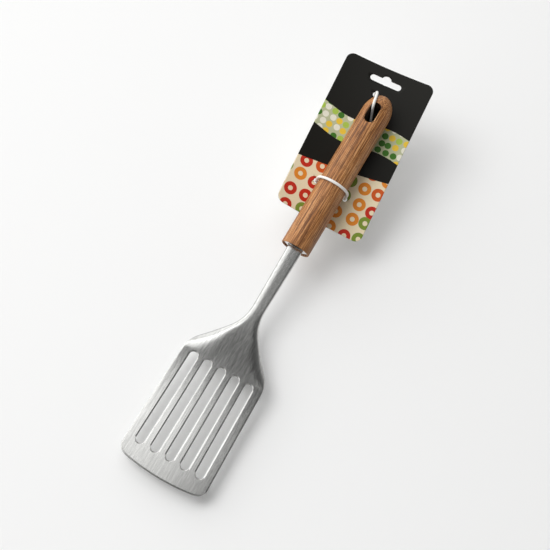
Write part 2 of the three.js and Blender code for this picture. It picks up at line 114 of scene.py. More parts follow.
class HandleSizes(bpy.types.PropertyGroup):
    """Wooden handle, its end cap and the tang. Distances run from the handle's front."""

    diameter: length("Diameter", "Diameter of the handle", 0.0235)
    length: length("Length", "Length of the handle", 0.1407)
    dome: length("Dome", "Length of the domed end", 0.017)
    rim_width: length("Rim width", "Wood round the recess at the front", 0.0011)
    rim_round: length("Rim round", "Rounding of the front edge", 0.0006)
    hole_length: length("Hole length", "Length of the hanging hole", 0.0173)
    hole_width: length("Hole width", "Width of the hanging hole", 0.0082)
    hole_from_end: length("Hole from end", "Middle of the hole to the handle's end", 0.0193)
    hole_roll: angle("Hole roll", "Lean of the hole to the left", 15.0)
    hole_edge: length("Hole edge", "Rounding of the hole's rims", 0.0008)
    stem_bore: length("Stem bore", "Radius of the opening round the stem", 0.00663)
    stem_insert: length("Stem insert", "Depth of the stem in the handle", 0.014)
    cap_inset: length("Cap inset", "Depth of the cap's face in the recess", 0.001)
    cap_depth: length("Cap depth", "Depth of the cap", 0.005)
    cap_wall: length("Cap wall", "Thickness of the cap", 0.0008)
    cap_edge: length("Cap edge", "Rounding of the cap's sharp edges", 0.0001)
    tang_diameter: length("Tang diameter", "Diameter of the tang", 0.005)
    tang_in_stem: length("Tang in stem", "Length of tang under the stem", 0.025)
    tang_in_handle: length("Tang in handle", "Length of tang in the wood", 0.060)
    fit: length("Fit", "Clearance between pieces that seat on each other", 0.0003)


class CardSizes(bpy.types.PropertyGroup):
    """Hang card behind the handle and the ties through it."""

    thickness: length("Thickness", "Thickness of the card", 0.0006)
    length: length("Length", "Length of the card", 0.1374)
    width: length("Width", "Width of the card", 0.0733)
    corner: length("Corner", "Radius of the corners", 0.006)
    past_end: length("Past the end", "Card that stands past the handle's end", 0.0266)
    aside: length("Aside", "Middle of the card to the left of the handle", 0.0016)
    turn: angle("Turn", "Turn of the card on the handle", 4.6)
    curl: length("Curl", "Lift of the long sides", 0.003)
    twist: length("Twist", "Twist of the ends", 0.0075)
    slot_length: length("Slot length", "Length of the hang slot", 0.026)
    slot_height: length("Slot height", "Height of the hang slot", 0.005)
    slot_bump: length("Slot bump", "Diameter of the round in the hang slot's middle", 0.008)
    slot_from_top: length("Slot from top", "Hang slot to the card's top edge", 0.0115)
    tie_diameter: length("Tie diameter", "Diameter of the ties", 0.0022)
    tie_hole: length("Tie hole", "Diameter of the holes for the ties", 0.004)
    tie_bend: length("Tie bend", "Depth of a tie's bend behind the card", 0.002)
    tie_end_gap: length("Tie end gap", "Gap between a tie's two ends", 0.0012)
    lower_tie: length("Lower tie", "Lower tie to the card's lower edge", 0.0275)


class Finishes(bpy.types.PropertyGroup):
    """Colours and finish of the materials."""

    steel: tint("Steel", "Brushed sheet steel", (0.60, 0.60, 0.585))
    steel_roughness: share("Steel roughness", "Roughness of the brushed steel", 0.2)
    bright: tint("Bright steel", "Polished cap", (0.80, 0.80, 0.80))
    wood_dark: tint("Dark wood", "Dark lines of the wood", (0.095, 0.032, 0.009))
    wood: tint("Wood", "Middle tone of the wood", (0.37, 0.145, 0.038))
    wood_light: tint("Light wood", "Light lines of the wood", (0.64, 0.34, 0.145))
    card: tint("Card", "Dark ground of the card", (0.0095, 0.009, 0.0072))
    cream: tint("Cream", "Pale ground of the card's lower panel", (0.80, 0.68, 0.47))
    board: tint("Board", "Plain back of the card", (0.62, 0.60, 0.56))
    strip: tint("Strip", "Ground of the card's strip of dots", (0.46, 0.48, 0.30))
    tie: tint("Tie", "White of the ties", (0.80, 0.785, 0.75))
    wood_shine: share("Wood shine", "Strength of the oiled wood's reflections", 0.45)
    card_shine: share("Card shine", "Strength of the printed card's reflections", 0.15)


class CardPrint(bpy.types.PropertyGroup):
    """Pattern on the card's front, measured from its lower right corner."""

    strip_middle: length("Strip middle", "Height of the strip of dots", 0.079)
    strip_width: length("Strip width", "Width of the strip of dots", 0.021)
    wave_height: length("Wave height", "Height of the strip's waves over its middle", 0.0022)
    wave_length: length("Wave length", "Length of the strip's waves", 0.066)
    dot_spacing: length("Dot spacing", "Middle to middle of the dots", 0.0061)
    dot_share: share("Dot share", "Radius of a dot as a share of the spacing", 0.42)
    panel_height: length("Panel height", "Height of the panel of rings at the right", 0.052)
    panel_slant: share("Panel slant", "Fall of the panel's upper edge to the left", 0.16)
    ring_spacing: length("Ring spacing", "Middle to middle of the rings", 0.0128)
    ring_share: share("Ring share", "Outer radius of a ring as a share of the spacing", 0.40)
    ring_hole_share: share("Ring hole share", "Inner radius of a ring as a share of the spacing", 0.15)


class StageSizes(bpy.types.PropertyGroup):
    """Floor, light and camera."""

    floor: tint("Floor", "Colour of the floor", (0.90, 0.90, 0.895))
    floor_size: length("Floor size", "Side of the floor", 8.0)
    floor_drop: length("Floor drop", "Floor below the blade, which is held off it", 0.012)
    lens: FloatProperty(
        name="Lens", description="Focal length on a 36 mm sensor", default=110.6, unit="CAMERA"
    )
    elevation: angle("Elevation", "Height of the camera over the floor", 64.49)
    azimuth: angle("Azimuth", "Turn of the camera off the tool's axis", -0.59)
    roll: angle("Roll", "Turn of the camera about its own axis", 30.43)
    distance: length("Distance", "Camera to the point it looks at", 1.2995)
    target: FloatVectorProperty(
        name="Target",
        description="Point that the camera looks at",
        default=(0.17963, 0.00291, 0.0012),
        size=3,
        subtype="TRANSLATION",
    )


# Upper tie, from the card up through the hanging hole to its rim on the left.
# Points are in shares of the hole's straight half length, its clear half width and the handle's radius.
TIE_IN_HOLE = [
    (-0.82, 0.82, -1.0),
    (-0.8, 0.65, -0.8),
    (-0.65, 0.6, -0.5),
    (0.4, 0.8, 0.17),
    (1.25, 0.8, 0.93),
]

# Upper tie over the dome: share of the dome's length still to go, and the turn to the left of the top
TIE_OVER_DOME = [(0.65, 28.0), (0.41, 36.0), (0.18, 54.0)]

# Upper tie down to the card: shares of the handle's radius past the end, to the left and up
TIE_PAST_END = [(0.01, 0.67, -0.04), (0.16, 0.7, -0.6), (0.18, 0.71, -1.0)]


def lerp(start, end, part):
    """Value a part of the way from start to end."""
    return start + (end - start) * part


def even_steps(start, end, count):
    """Values in even steps from start to end, with both ends."""
    return [lerp(start, end, k / count) for k in range(count + 1)]


def smoothstep(value, low, high):
    """Smooth rise from 0 at low to 1 at high."""
    part = min(max((value - low) / (high - low), 0.0), 1.0)
    return part * part * (3.0 - 2.0 * part)


def rest_at(blade):
    """Distance from the tip to the frame's origin."""
    return blade.tip_land / 2


def handle_at(blade):
    """Distance from the tip to the handle's front."""
    return blade.blade_length + blade.heel_length + blade.stem_length


def crown_above_axis(blade, handle):
    """Height of the stem's crown over the handle's axis."""
    return handle.tang_diameter / 2 + handle.fit + blade.sheet


def crown(blade, x):
    """Height and slope of the sheet's crown line at a distance from the tip."""
    steepest = math.tan(blade.rise)
    into = min(max(x - blade.flat_length, 0.0), blade.bend_length)
    past = max(x - blade.flat_length - blade.bend_length, 0.0)
    slope = steepest * into / blade.bend_length
    return blade.sheet + slope * into / 2 + steepest * past, math.atan(slope)


def slots_end(blade):
    """Distance from the tip to the end of the slots, where the edges begin to roll down."""
    return blade.blade_length - blade.heel_land


def side_at(blade, x):
    """Half the width of the blade between its straight sides."""
    return lerp(blade.tip_width, blade.shoulder_width, x / blade.blade_length) / 2


def on_bend(start, corner, end, x):
    """Half width at a distance from the tip on a curve that bends round a corner."""
    linear = corner.x - start.x
    square = start.x - 2 * corner.x + end.x
    part = (x - start.x) / (linear + math.sqrt(linear**2 + square * (x - start.x)))
    return lerp(lerp(start.y, corner.y, part), lerp(corner.y, end.y, part), part)


def half_width(blade, x):
    """Half the width of the sheet: blade, a straight draw-in bent at both ends, and stem."""
    shoulder = Vector((blade.blade_length, blade.shoulder_width / 2))
    neck = Vector((blade.blade_length + blade.heel_length, blade.neck_width / 2))
    handle_front = Vector((handle_at(blade), blade.stem_width / 2))
    onward = (neck - shoulder).normalized()
    blend_start = shoulder.x - blade.shoulder_blend
    side_end = Vector((blend_start, side_at(blade, blend_start)))
    heel_start = shoulder + onward * blade.shoulder_blend
    heel_end = neck - onward * blade.neck_blend
    stem_start = neck + (handle_front - neck).normalized() * blade.neck_blend
    if x <= side_end.x:
        return side_at(blade, x)
    if x < heel_start.x:
        return on_bend(side_end, shoulder, heel_start, x)
    if x <= heel_end.x:
        return lerp(shoulder.y, neck.y, (x - shoulder.x) / (neck.x - shoulder.x))
    if x < stem_start.x:
        return on_bend(heel_end, neck, stem_start, x)
    return min(lerp(neck.y, handle_front.y, (x - neck.x) / (handle_front.x - neck.x)), handle_front.y)


# Steps in which a cross section is followed from the middle to its edge
SECTION_STEPS = 40


def section(blade, x, across):
    """Way to the side and drop below the crown at a share of the sheet's half width."""
    half = half_width(blade, x)
    roll = blade.roll_angle * smoothstep(x, slots_end(blade), slots_end(blade) + blade.roll_run_in)
    tightness = min(max(1.0, half / (blade.roll_radius * blade.roll_angle)), blade.roll_tightest)

    def run(reach):
        side = 0.0
        drop = 0.0
        step = reach / SECTION_STEPS
        for k in range(SECTION_STEPS):
            turn = roll * ((k + 0.5) * step) ** tightness
            side += math.cos(turn) * step
            drop += math.sin(turn) * step
        return side, drop

    side, drop = run(abs(across))
    scale = half / run(1.0)[0]
    return math.copysign(side * scale, across), drop * scale


def blade_columns(blade):
    """Lengthwise lines of the sheet as (share of half width, offset, way from slot's middle, slot)."""
    radius = blade.slot_width / 2
    inset = blade.side_land + radius
    land = (blade.tip_width - 2 * inset) / (blade.slots - 1) - blade.slot_width
    round_steps = 10
    margin_ways = [0.0] + even_steps(blade.edge, blade.side_land - blade.edge, 6)
    land_parts = even_steps(blade.edge / land, 1.0 - blade.edge / land, 3)
    columns = [(-1.0, way, radius, None) for way in margin_ways]
    for slot in range(blade.slots):
        spread = 2.0 * slot / (blade.slots - 1) - 1.0
        for k in range(round_steps + 1):
            way = radius * math.sin(math.pi * (k / round_steps - 0.5))
            columns.append((spread, way - spread * inset, way, slot))
        if slot < blade.slots - 1:
            following = 2.0 * (slot + 1) / (blade.slots - 1) - 1.0
            for part in land_parts:
                middle = lerp(spread, following, part)
                columns.append((middle, radius * (1.0 - 2.0 * part) - middle * inset, radius, None))
    mirrored = [(1.0, -way, radius, None) for way in margin_ways]
    return columns + mirrored[::-1]


def tip_edge(blade, y):
    """Distance of the front edge behind the tip at a distance from the middle."""
    half = blade.tip_width / 2
    y = min(abs(y), half)

    def arc(at):
        return blade.tip_radius - math.sqrt(blade.tip_radius**2 - at**2)

    if y <= half - blade.corner:
        return arc(y)
    left = math.sqrt((half - y) / blade.corner)
    start = arc(half - blade.corner)
    end = arc(half) + blade.corner
    return left * left * start + 2 * left * (1 - left) * arc(half) + (1 - left) ** 2 * end


# Rows of the sheet's mesh in each stretch from the tip to the handle
TIP_ROWS = 9
SLOT_ROWS = 40
SHOULDER_ROWS = 14
HEEL_ROWS = 32
NECK_ROWS = 12
STEM_ROWS = 18
BLADE_ROWS = TIP_ROWS + SLOT_ROWS + SHOULDER_ROWS + HEEL_ROWS + NECK_ROWS + STEM_ROWS


def blade_place(blade, handle, row, column):
    """Place of a point of the sheet's upper face, given by its row and its column."""
    wide, offset, way, _ = column
    margin = max(1.0 - abs(offset) / blade.side_land, 0.0) if abs(wide) == 1.0 else 0.0

    def flat_y(at):
        trimmed = side_at(blade, at) - half_width(blade, at)
        return wide * (side_at(blade, at) - trimmed * margin) + offset

    radius = blade.slot_width / 2
    swell = math.sqrt(max(radius**2 - way**2, 0.0))
    front = tip_edge(blade, flat_y(tip_edge(blade, flat_y(0.0))))
    first = blade.tip_land + radius - swell
    last = slots_end(blade) - radius + swell
    shoulder = blade.blade_length + blade.shoulder_blend
    neck = blade.blade_length + blade.heel_length
    bend_end = max(blade.flat_length + blade.bend_length, neck + blade.neck_blend)
    stem_end = handle_at(blade) + handle.stem_insert * math.cos(blade.rise)
    stations = [
        (1, front, front + blade.edge),
        (TIP_ROWS - 2, front + blade.edge, first - blade.edge),
        (1, first - blade.edge, first),
        (SLOT_ROWS, first, last),
        (1, last, last + blade.edge),
        (SHOULDER_ROWS - 1, last + blade.edge, shoulder),
        (HEEL_ROWS, shoulder, neck),
        (NECK_ROWS, neck, bend_end),
        (STEM_ROWS, bend_end, stem_end),
    ]
    x = front
    for count, start, end in stations:
        if row <= count:
            x = lerp(start, end, row / count)
            break
        row -= count
    drop = 0.0
    if x <= slots_end(blade):
        y = flat_y(x)
    else:
        y, drop = section(blade, x, flat_y(slots_end(blade)) / half_width(blade, slots_end(blade)))
    z, rise = crown(blade, x)
    return Vector((x + drop * math.sin(rise) - rest_at(blade), y, z - drop * math.cos(rise)))


def place_piece(name, data, node_name):
    """Put a mesh or a curve in the scene as the piece that stands for a node of the frame."""
    piece = bpy.data.objects.new(name, data)
    bpy.context.scene.collection.objects.link(piece)
    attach(piece, BODY)
    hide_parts(node_name)
    return piece


def finish_piece(name, bm, materials, node_name):
    """Turn a mesh in progress into a smooth piece."""
    mesh = bpy.data.meshes.new(name)
    bm.to_mesh(mesh)
    bm.free()
    mesh.shade_smooth()
    for material in materials:
        mesh.materials.append(material)
    return place_piece(name, mesh, node_name)


def break_edges(piece, width, segments=2):
    """Round the sharp edges of a piece a little."""
    bevel = piece.modifiers.new("Broken edges", "BEVEL")
    bevel.width = width
    bevel.segments = segments
    bevel.limit_method = "ANGLE"
    bevel.angle_limit = math.radians(40.0)
    bevel.harden_normals = True


def thicken(piece, thickness, back_slot=0):
    """Give a sheet its thickness below its upper face."""
    solid = piece.modifiers.new("Thickness", "SOLIDIFY")
    solid.thickness = thickness
    solid.offset = -1.0
    solid.use_even_offset = True
    solid.material_offset = back_slot
    solid.material_offset_rim = back_slot


def handle_matrix(blade, handle):
    """Turn and place of the handle's own directions, with X along its axis from its front."""
    z, _ = crown(blade, handle_at(blade))
    below = crown_above_axis(blade, handle)
    x = handle_at(blade) + below * math.sin(blade.rise) - rest_at(blade)
    place = Matrix.Translation((x, 0.0, z - below * math.cos(blade.rise)))
    return place @ Matrix.Rotation(-blade.rise, 4, "Y")


def finish_on_handle(name, bm, materials, node_name):
    """Turn a mesh in the handle's own directions into a smooth piece in its place."""
    scene = bpy.context.scene
    place = handle_matrix(scene.spatula_blade, scene.spatula_handle)
    bmesh.ops.transform(bm, matrix=place, verts=bm.verts)
    return finish_piece(name, bm, materials, node_name)


# Points nearer than this are one point, and a point this near to a surface lies on it
SAME_POINT = 1e-6
ON_SURFACE = 1e-5


def turned(profile, steps, start):
    """Closed mesh of (along, radius) points turned about the X axis from a starting direction."""
    bm = bmesh.new()
    out = Vector((0.0, math.sin(start), math.cos(start)))
    corners = [bm.verts.new(Vector((along, 0.0, 0.0)) + out * radius) for along, radius in profile]
    edges = [bm.edges.new(pair) for pair in zip(corners, corners[1:])]
    bmesh.ops.spin(
        bm,
        geom=corners + edges,
        cent=(0.0, 0.0, 0.0),
        axis=(1.0, 0.0, 0.0),
        angle=math.tau,
        steps=steps,
        use_merge=True,
    )
    bmesh.ops.remove_doubles(bm, verts=bm.verts, dist=SAME_POINT)
    bmesh.ops.recalc_face_normals(bm, faces=bm.faces)
    return bm


def arc_points(middle_x, middle_y, radius, start, end, steps):
    """Points of an arc about a middle, with its turns in degrees from the first direction."""
    points = []
    for degrees in even_steps(start, end, steps):
        turn = math.radians(degrees)
        points.append((middle_x + radius * math.cos(turn), middle_y + radius * math.sin(turn)))
    return points


def dome_radius(handle, along):
    """Radius of the handle's outside at a distance from its front."""
    up = max(along - (handle.length - handle.dome), 0.0) / handle.dome
    return handle.diameter / 2 * math.sqrt(max(1.0 - up * up, 0.0))


# Sides of the turned pieces, how many of the handle's lie on each side of the hanging hole's middle,
# and the rows round the dome
HANDLE_SIDES = 96
ROD_SIDES = 40
HOLE_SIDES = 6
DOME_STEPS = 14


def hole_span(handle):
    """Middle of the hanging hole from the handle's front, and half the length of its straight sides."""
    return handle.length - handle.hole_from_end, (handle.hole_length - handle.hole_width) / 2


def handle_profile(handle):
    """Profile of the handle: stepped bore, recess, rounded rim, rows along the outside and the dome."""
    bore = handle.tang_diameter / 2 + handle.fit
    radius = handle.diameter / 2
    recess = radius - handle.rim_width
    recess_depth = handle.cap_inset + handle.cap_depth + handle.fit
    points = [
        (handle.tang_in_handle + handle.fit, 0.0),
        (handle.tang_in_handle + handle.fit, bore),
        (handle.stem_insert + handle.fit, bore),
        (handle.stem_insert + handle.fit, handle.stem_bore),
        (recess_depth, handle.stem_bore),
        (recess_depth, recess),
    ]
    rim = handle.rim_round
    inner = rim / 2
    points += arc_points(inner, recess + inner, inner, 270.0, 180.0, steps=3)
    points += arc_points(rim, radius - rim, rim, 180.0, 90.0, steps=4)
    middle, reach = hole_span(handle)
    plain_end = middle - reach - handle.hole_width
    stretches = [
        (rim, plain_end, 5),
        (plain_end, middle - reach, 5),
        (middle - reach, middle + reach, 6),
    ]
    for start, end, steps in stretches:
        for along in even_steps(start, end, steps)[1:]:
            points.append((along, dome_radius(handle, along)))
    first_turn = math.asin(max(middle + reach - (handle.length - handle.dome), 0.0) / handle.dome)
    for turn in even_steps(first_turn, math.pi / 2, DOME_STEPS)[1:-1]:
        along = handle.length - handle.dome * (1.0 - math.sin(turn))
        points.append((along, dome_radius(handle, along)))
    points.append((handle.length, 0.0))
    return points


def hole_warp(handle, point):
    """Move a point of the plain turned handle so that its lines run round the hanging hole."""
    radius = Vector((point.y, point.z)).length
    if radius < SAME_POINT or abs(radius - dome_radius(handle, point.x)) > ON_SURFACE:
        return point
    middle, reach = hole_span(handle)
    hole = handle.hole_width / 2
    turn = math.atan2(point.y, point.z) - handle.hole_roll
    turn = (turn + math.pi) % math.tau - math.pi
    side = 1.0
    if abs(turn) > math.pi / 2:
        turn = math.copysign(math.pi, turn) - turn
        side = -1.0
    widest = math.tau / HANDLE_SIDES * HOLE_SIDES
    inner = min(abs(turn) / widest, 1.0)
    way = hole * math.sin(inner * math.pi / 2)
    swell = math.sqrt(max(hole * hole - way * way, 0.0))
    fade = 2.0 * hole
    along = point.x
    if along > middle + reach:
        left = (handle.length - along) / (handle.length - middle - reach)
        along += swell * max(left, 0.0) ** 2
    elif along > middle - reach:
        along = middle + (along - middle) * (reach + swell) / reach
    elif along > middle - reach - fade:
        along -= swell * (along - middle + reach + fade) / fade
    new_radius = dome_radius(handle, along)
    narrowest = dome_radius(handle, middle + reach + hole)
    edge = math.asin(way / max(new_radius, narrowest))
    full = math.asin(hole / max(new_radius, narrowest))
    outer = max(abs(turn) - widest, 0.0) / (math.pi / 2 - widest)
    new_turn = math.copysign(lerp(full, math.pi / 2, outer) if outer > 0.0 else edge, turn)
    if side < 0.0:
        new_turn = math.copysign(math.pi, turn) - new_turn
    new_turn += handle.hole_roll
    return Vector((along, new_radius * math.sin(new_turn), new_radius * math.cos(new_turn)))


def in_hole(handle, face):
    """Whether a face of the plain turned handle lies where the hanging hole goes through."""
    centre = face.calc_center_median()
    middle, reach = hole_span(handle)
    if abs(centre.x - middle) > reach:
        return False
    if Vector((centre.y, centre.z)).length < handle.diameter / 4:
        return False
    turn = math.atan2(centre.y, centre.z) - handle.hole_roll
    turn = abs((turn + math.pi / 2) % math.pi - math.pi / 2)
    return turn < math.tau / HANDLE_SIDES * HOLE_SIDES


def card_middle(handle, card):
    """Middle of the card in the handle's own directions."""
    return Vector((handle.length + card.past_end - card.length / 2, card.aside))


def card_height(handle, card, spot):
    """Height of the card's front over the handle's axis."""
    half_width = card.width / 2
    slope = card.twist / half_width
    parting = 1.0 / handle.diameter - card.curl / half_width**2
    gap = handle.fit + slope**2 / (4.0 * parting)
    outward = spot.y / half_width
    onward = (spot.x - card_middle(handle, card).x) / (card.length / 2)
    return -handle.diameter / 2 - gap + card.curl * outward**2 - card.twist * outward * onward


def upper_tie_points(handle, card):
    """Points of the upper tie between its two holes in the card."""
    radius = handle.diameter / 2
    middle, reach = hole_span(handle)
    points = []
    for along, aside, up in TIE_IN_HOLE:
        z = up * radius
        y = z * math.tan(handle.hole_roll) + aside * (handle.hole_width - card.tie_diameter) / 2
        points.append(Vector((middle + along * reach, y, z)))
    lift = card.tie_diameter / 2 + 2 * handle.fit
    for to_go, degrees in TIE_OVER_DOME:
        turn = math.radians(degrees)
        up_dome = handle.dome * (1.0 - to_go) / (handle.dome + lift)
        clear = (radius + lift) * math.sqrt(1.0 - up_dome**2)
        x = handle.length - to_go * handle.dome
        points.append(Vector((x, clear * math.sin(turn), clear * math.cos(turn))))
    for past, aside, up in TIE_PAST_END:
        points.append(Vector((handle.length, 0.0, 0.0)) + Vector((past, aside, up)) * radius)
    return points


def lower_tie_points(handle, card):
    """Points of the lower tie between its two holes in the card."""
    at = handle.length + card.past_end - card.length + card.lower_tie
    radius = handle.diameter / 2 + handle.fit + card.tie_diameter / 2
    leg = handle.diameter / 4
    points = [Vector((at, radius, -handle.diameter / 2)), Vector((at, radius, -leg))]
    for y, z in arc_points(0.0, 0.0, radius, 0.0, 180.0, steps=9):
        points.append(Vector((at, y, z)))
    points += [Vector((at, -radius, -leg)), Vector((at, -radius, -handle.diameter / 2))]
    return points


def tie_tail(handle, card, hole, other):
    """Points of a tie's tail behind the card, from near the other tail's end up into its own hole."""
    inward = other - hole
    tail = inward.length / 2 - card.tie_end_gap / 2
    inward.normalize()
    corner = card.tie_bend * (1.0 - math.sqrt(0.5))

    def at(way, up):
        spot = hole + inward * way
        middle = card_height(handle, card, spot) - card.thickness / 2
        return Vector((spot.x, spot.y, middle - card.tie_bend + up))

    return [
        at(tail, 0.0),
        at((tail + card.tie_bend) / 2, 0.0),
        at(card.tie_bend, 0.0),
        at(corner, corner),
        at(0.0, card.tie_bend),
    ]


def smooth_route(points, steps):
    """Even curve through all the points, with steps between each two of them."""
    ends = [2 * points[0] - points[1]] + points + [2 * points[-1] - points[-2]]
    route = []
    for before, start, end, after in zip(ends, ends[1:], ends[2:], ends[3:]):
        gap_0 = math.sqrt((start - before).length)
        gap_1 = math.sqrt((end - start).length)
        gap_2 = math.sqrt((after - end).length)
        leave = (start - before) / gap_0 - (end - before) / (gap_0 + gap_1) + (end - start) / gap_1
        arrive = (end - start) / gap_1 - (after - start) / (gap_1 + gap_2) + (after - end) / gap_2
        leave *= gap_1
        arrive *= gap_1
        for k in range(steps):
            t = k / steps
            route.append(
                start * (2 * t**3 - 3 * t**2 + 1)
                + leave * (t**3 - 2 * t**2 + t)
                + end * (3 * t**2 - 2 * t**3)
                + arrive * (t**3 - t**2)
            )
    route.append(points[-1].copy())
    return route


# Steps of a tie's curve between two of its points
TIE_STEPS = 6


def make_tie(name, points, node_name):
    """Round tie from one tail behind the card to the other."""
    scene = bpy.context.scene
    blade, handle, card = scene.spatula_blade, scene.spatula_handle, scene.spatula_card
    holes = [points[0].xy, points[-1].xy]
    whole = tie_tail(handle, card, holes[0], holes[1]) + points[1:-1]
    whole += tie_tail(handle, card, holes[1], holes[0])[::-1]
    place = handle_matrix(blade, handle)
    route = [place @ point for point in smooth_route(whole, TIE_STEPS)]
    curve = bpy.data.curves.new(name, "CURVE")
    curve.dimensions = "3D"
    curve.bevel_depth = card.tie_diameter / 2
    curve.bevel_resolution = 5
    curve.use_fill_caps = True
    spline = curve.splines.new("POLY")
    spline.points.add(len(route) - 1)
    for point, spot in zip(spline.points, route):
        point.co = (*spot, 1.0)
    curve.materials.append(tie_material())
    place_piece(name, curve, node_name)


def node(tree, kind, inputs=None, **settings):
    """Add a shader node with its settings and its inputs, which are values or other nodes' outputs."""
    made = tree.nodes.new(kind)
    for key, value in settings.items():
        setattr(made, key, value)
    for socket, value in (inputs or {}).items():
        if isinstance(value, bpy.types.NodeSocket):
            tree.links.new(value, made.inputs[socket])
        else:
            made.inputs[socket].default_value = value
    return made


def maths(tree, operation, first, second=0.0):
    """Output of a Math node."""
    return node(tree, "ShaderNodeMath", {0: first, 1: second}, operation=operation).outputs[0]


def map_range(tree, value, start, end, low, high):
    """Value taken from a span to another one and held inside it."""
    inputs = {"Value": value, "From Min": start, "From Max": end, "To Min": low, "To Max": high}
    return node(tree, "ShaderNodeMapRange", inputs).outputs[0]


def between(tree, value, low, high):
    """Value from 0 to 1 taken to a span."""
    return map_range(tree, value, 0.0, 1.0, low, high)


def blend(tree, factor, first, second, mode="MIX"):
    """Colour output of a Mix node."""
    inputs = {0: factor, 6: first, 7: second}
    return node(tree, "ShaderNodeMix", inputs, data_type="RGBA", blend_type=mode).outputs[2]


def mixture(tree, first, second, part):
    """Two values added, with a part of the second and the rest of the first."""
    inputs = {"Factor": part, "A": first, "B": second}
    return node(tree, "ShaderNodeMix", inputs, data_type="FLOAT").outputs[0]


def ramp(tree, factor, stops, interpolation="LINEAR"):
    """Colour output of a ramp given as (place, colour) stops."""
    made = node(tree, "ShaderNodeValToRGB", {"Fac": factor})
    made.color_ramp.interpolation = interpolation
    elements = made.color_ramp.elements
    while len(elements) < len(stops):
        elements.new(1.0)
    for element, (place, colour) in zip(elements, stops):
        element.position = place
        element.color = colour
    return made.outputs["Color"]


def solid_colour(colour, dim=1.0):
    """Colour with full alpha, dimmed where asked."""
    return (*[channel * dim for channel in colour], 1.0)


def new_material(name, **inputs):
    """New material, its node tree and its Principled shader, with some plain inputs."""
    material = bpy.data.materials.new(name)
    material.use_nodes = True
    tree = material.node_tree
    tree.nodes.clear()
    shader = node(tree, "ShaderNodeBsdfPrincipled", inputs)
    output = node(tree, "ShaderNodeOutputMaterial")
    tree.links.new(shader.outputs[0], output.inputs[0])
    return material, tree, shader


def streaks_group():
    """Group of long fine streaks, for brushed steel and wood grain. It is made once."""
    name = "Streaks"
    if name in bpy.data.node_groups:
        return bpy.data.node_groups[name]
    group = bpy.data.node_groups.new(name, "ShaderNodeTree")
    group.interface.new_socket("Vector", in_out="INPUT", socket_type="NodeSocketVector")
    for label, default in (("Along", 20.0), ("Across", 800.0), ("Detail", 3.0)):
        socket = group.interface.new_socket(label, in_out="INPUT", socket_type="NodeSocketFloat")
        socket.default_value = default
    group.interface.new_socket("Value", in_out="OUTPUT", socket_type="NodeSocketFloat")
    entry = node(group, "NodeGroupInput")
    leave = node(group, "NodeGroupOutput")
    across = entry.outputs["Across"]
    scales = {"X": entry.outputs["Along"], "Y": across, "Z": across}
    stretch = node(group, "ShaderNodeCombineXYZ", scales)
    place = node(
        group,
        "ShaderNodeVectorMath",
        {0: entry.outputs["Vector"], 1: stretch.outputs[0]},
        operation="MULTIPLY",
    )
    noise = node(
        group,
        "ShaderNodeTexNoise",
        {"Vector": place.outputs[0], "Scale": 1.0, "Detail": entry.outputs["Detail"], "Roughness": 0.6},
    )
    group.links.new(noise.outputs["Fac"], leave.inputs["Value"])
    return group


def streaks(tree, vector, along, across, detail=3.0):
    """Streak value over a vector, with lines per metre along and across."""
    inputs = {"Vector": vector, "Along": along, "Across": across, "Detail": detail}
    return node(tree, "ShaderNodeGroup", inputs, node_tree=streaks_group()).outputs["Value"]


def fibres(tree, vector, scale, detail):
    """Fine even noise over a vector, with grains per metre."""
    inputs = {"Vector": vector, "Scale": scale, "Detail": detail}
    return node(tree, "ShaderNodeTexNoise", inputs).outputs["Fac"]


# Span in which most values of a noise lie
NOISE_LOW = 0.35
NOISE_HIGH = 0.65


def toned(tree, shader, value, colour, darkest, lightest):
    """Colour a shader in tones of one colour that follow a value."""
    stops = [(NOISE_LOW, solid_colour(colour, darkest)), (NOISE_HIGH, solid_colour(colour, lightest))]
    tree.links.new(ramp(tree, value, stops), shader.inputs["Base Color"])


def roughened(tree, shader, value, smoothest, roughest):
    """Let a shader's roughness follow a value."""
    tree.links.new(between(tree, value, smoothest, roughest), shader.inputs["Roughness"])


def tool_vector(tree, rise=0.0):
    """Object coordinates, turned so that X runs along a piece that rises from the floor."""
    source = node(tree, "ShaderNodeTexCoord").outputs["Object"]
    return node(tree, "ShaderNodeMapping", {"Vector": source, "Rotation": (0.0, rise, 0.0)}).outputs[0]


def handle_vector(tree):
    """Object coordinates with X along the handle's axis."""
    return tool_vector(tree, bpy.context.scene.spatula_blade.rise)


def bumped(tree, shader, height, strength, distance):
    """Give a shader fine relief."""
    bump = node(tree, "ShaderNodeBump", {"Height": height, "Strength": strength, "Distance": distance})
    tree.links.new(bump.outputs[0], shader.inputs["Normal"])


# How far the sheet's roughness goes either way
ROUGHNESS_SPREAD = 0.05


def sheet_steel_material():
    """Stainless sheet, brushed along the tool in long and short lines."""
    finish = bpy.context.scene.spatula_finish
    material, tree, shader = new_material("brushed sheet steel", Metallic=1.0)
    vector = tool_vector(tree)
    fine = streaks(tree, vector, along=6.0, across=1500.0)
    broad = streaks(tree, vector, along=5.0, across=700.0)
    short = streaks(tree, vector, along=150.0, across=1000.0)
    lines = mixture(tree, mixture(tree, fine, broad, part=0.47), short, part=0.4)
    toned(tree, shader, lines, finish.steel, darkest=0.78, lightest=1.18)
    middle = finish.steel_roughness
    roughened(tree, shader, lines, middle - ROUGHNESS_SPREAD, middle + ROUGHNESS_SPREAD)
    bumped(tree, shader, fine, strength=0.02, distance=0.00005)
    return material


def bright_steel_material():
    """Polished steel of the cap, with faint turning marks."""
    finish = bpy.context.scene.spatula_finish
    material, tree, shader = new_material("bright cap steel", Metallic=1.0)
    marks = streaks(tree, handle_vector(tree), along=900.0, across=60.0)
    toned(tree, shader, marks, finish.bright, darkest=0.9, lightest=1.08)
    roughened(tree, shader, marks, smoothest=0.12, roughest=0.22)
    return material


